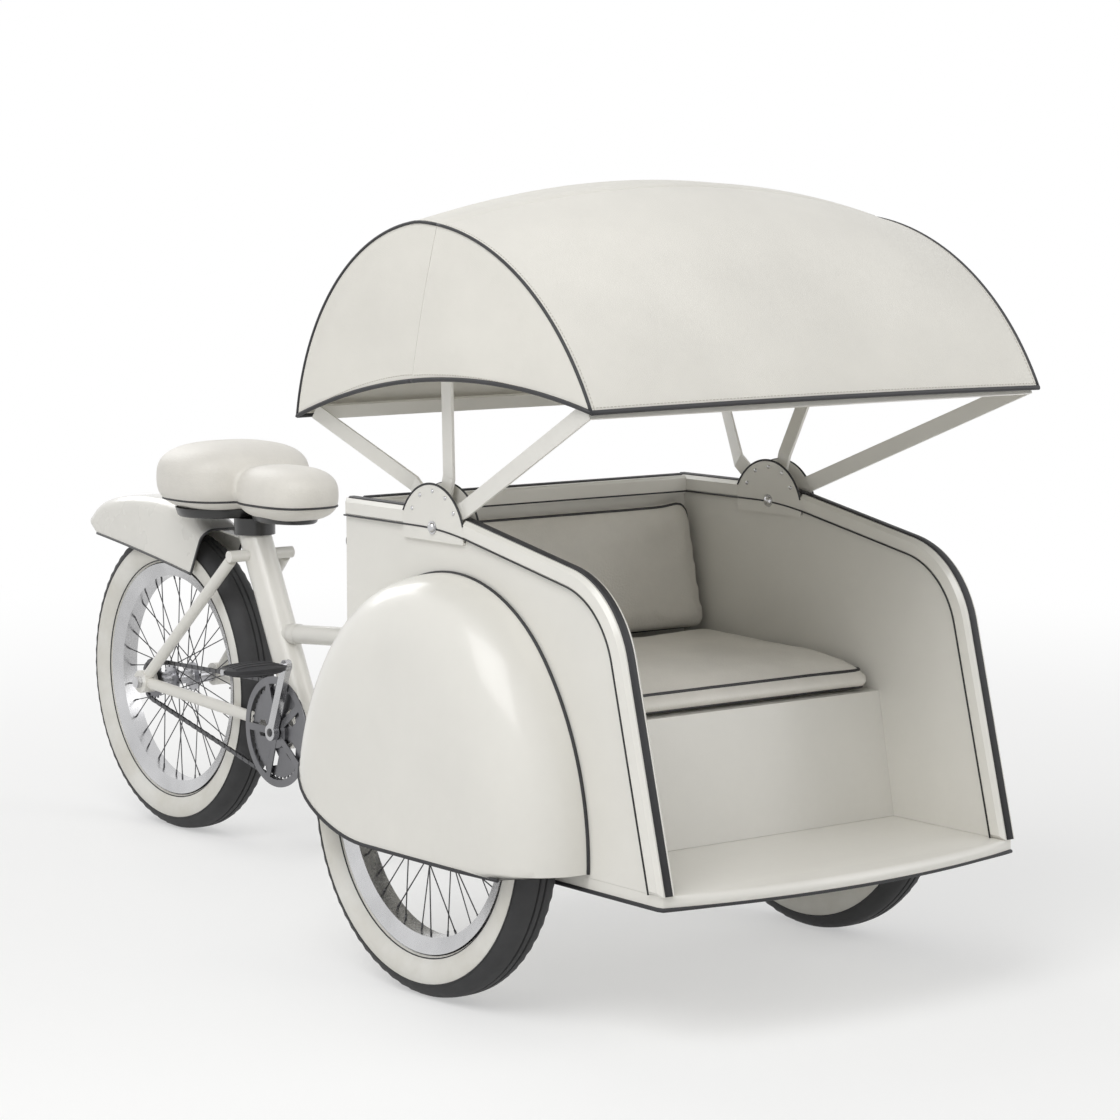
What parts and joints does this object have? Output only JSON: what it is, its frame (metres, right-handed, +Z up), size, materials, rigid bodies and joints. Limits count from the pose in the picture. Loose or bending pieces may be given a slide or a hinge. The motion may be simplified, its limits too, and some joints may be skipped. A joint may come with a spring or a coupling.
{
  "type": "cycle rickshaw",
  "caption": "Cycle rickshaw with a folding hood over a cushioned passenger tub between its front wheels, steered and driven by a bicycle rear half.",
  "frame": {"origin": "centre of the bounding box's base, on the ground the wheels stand on", "axes": "-Y forward (the way the passenger faces), +X the vehicle's left, +Z up"},
  "size_m": [1.1486, 2.6839, 1.506],
  "materials": {
    "body_paint": "semi-gloss",
    "rail_trim": "gloss",
    "black_metal": "satin",
    "frame_paint": "semi-gloss",
    "hood_cloth": "matt coated cloth",
    "seat_cover": "soft satin",
    "tyre_rubber": "matt",
    "rim_metal": "polished",
    "spoke_steel": "satin",
    "bare_steel": "satin",
    "chain_steel": "oiled",
    "black_rubber": "matt"
  },
  "bodies": {
    "cabin": {"floor_pan": "body_paint", "side_panel_left": "body_paint", "side_panel_right": "body_paint", "edge_rail_left": "rail_trim", "edge_rail_right": "rail_trim", "edge_rail_back": "rail_trim", "wheel_skirt_left": "body_paint", "wheel_skirt_right": "body_paint", "hood_bracket_left": "rail_trim", "hood_bracket_right": "rail_trim", "back_panel": "body_paint", "seat_box": "body_paint", "seat_cushion": "seat_cover", "back_cushion": "seat_cover", "front_axle": "black_metal", "rear_bow": "rail_trim", "canopy_rear": "hood_cloth", "steering_head": "black_metal", "push_bar": "bare_steel", "push_bar_grips": "black_rubber"},
    "middle_bow": {"middle_bow": "rail_trim", "canopy_front": "hood_cloth"},
    "front_bow": {"front_bow": "rail_trim"},
    "rear_frame": {"main_frame": "frame_paint", "rear_stay_left": "frame_paint", "rear_stay_right": "frame_paint", "rear_axle": "bare_steel", "chain": "chain_steel", "saddle_collar": "black_metal", "saddle": "seat_cover", "mudguard": "body_paint"},
    "rear_wheel": {"rear_tyre": "tyre_rubber", "rear_rim": "rim_metal", "rear_hub": "spoke_steel", "rear_sprocket": "chain_steel"},
    "crank": {"cranks": "bare_steel", "chainring": "chain_steel"},
    "pedal_left": {"pedal_left": "black_rubber"},
    "pedal_right": {"pedal_right": "black_rubber"},
    "wheel_left": {"front_tyre_left": "tyre_rubber", "front_rim_left": "rim_metal", "front_hub_left": "spoke_steel"},
    "wheel_right": {"front_tyre_right": "tyre_rubber", "front_rim_right": "rim_metal", "front_hub_right": "spoke_steel"}
  },
  "joints": [
    {"name": "steering", "type": "hinge", "parent": "cabin", "child": "rear_frame", "pos_m": [0, -0.217, 0.45], "axis": [0, 0, 1], "range_deg": [-40, 40]},
    {"name": "wheel_left_spin", "type": "hinge", "parent": "cabin", "child": "wheel_left", "pos_m": [0.477, -0.677, 0.35], "axis": [1, 0, 0], "continuous": true},
    {"name": "wheel_right_spin", "type": "hinge", "parent": "cabin", "child": "wheel_right", "pos_m": [-0.477, -0.677, 0.35], "axis": [1, 0, 0], "continuous": true},
    {"name": "rear_wheel_spin", "type": "hinge", "parent": "rear_frame", "child": "rear_wheel", "pos_m": [0, 0.992, 0.35], "axis": [1, 0, 0], "continuous": true},
    {"name": "crank_spin", "type": "hinge", "parent": "rear_frame", "child": "crank", "pos_m": [0, 0.468, 0.3], "axis": [1, 0, 0], "continuous": true},
    {"name": "pedal_left_spin", "type": "hinge", "parent": "crank", "child": "pedal_left", "pos_m": [0.175, 0.52713, 0.14596], "axis": [1, 0, 0], "continuous": true},
    {"name": "pedal_right_spin", "type": "hinge", "parent": "crank", "child": "pedal_right", "pos_m": [-0.175, 0.40887, 0.45404], "axis": [1, 0, 0], "continuous": true},
    {"name": "hood_fold", "type": "hinge", "parent": "cabin", "child": "middle_bow", "pos_m": [0, -0.617, 0.865], "axis": [-1, 0, 0], "range_deg": [0, 57], "deforming": ["canopy_rear"]},
    {"name": "front_bow_fold", "type": "hinge", "parent": "middle_bow", "child": "front_bow", "pos_m": [0, -0.617, 0.865], "axis": [-1, 0, 0], "range_deg": [0, 38.5], "deforming": ["canopy_front"]}
  ],
  "couplings": [
    {"joint": "front_bow_fold", "follows": "hood_fold", "ratio": 0.6754}
  ]
}
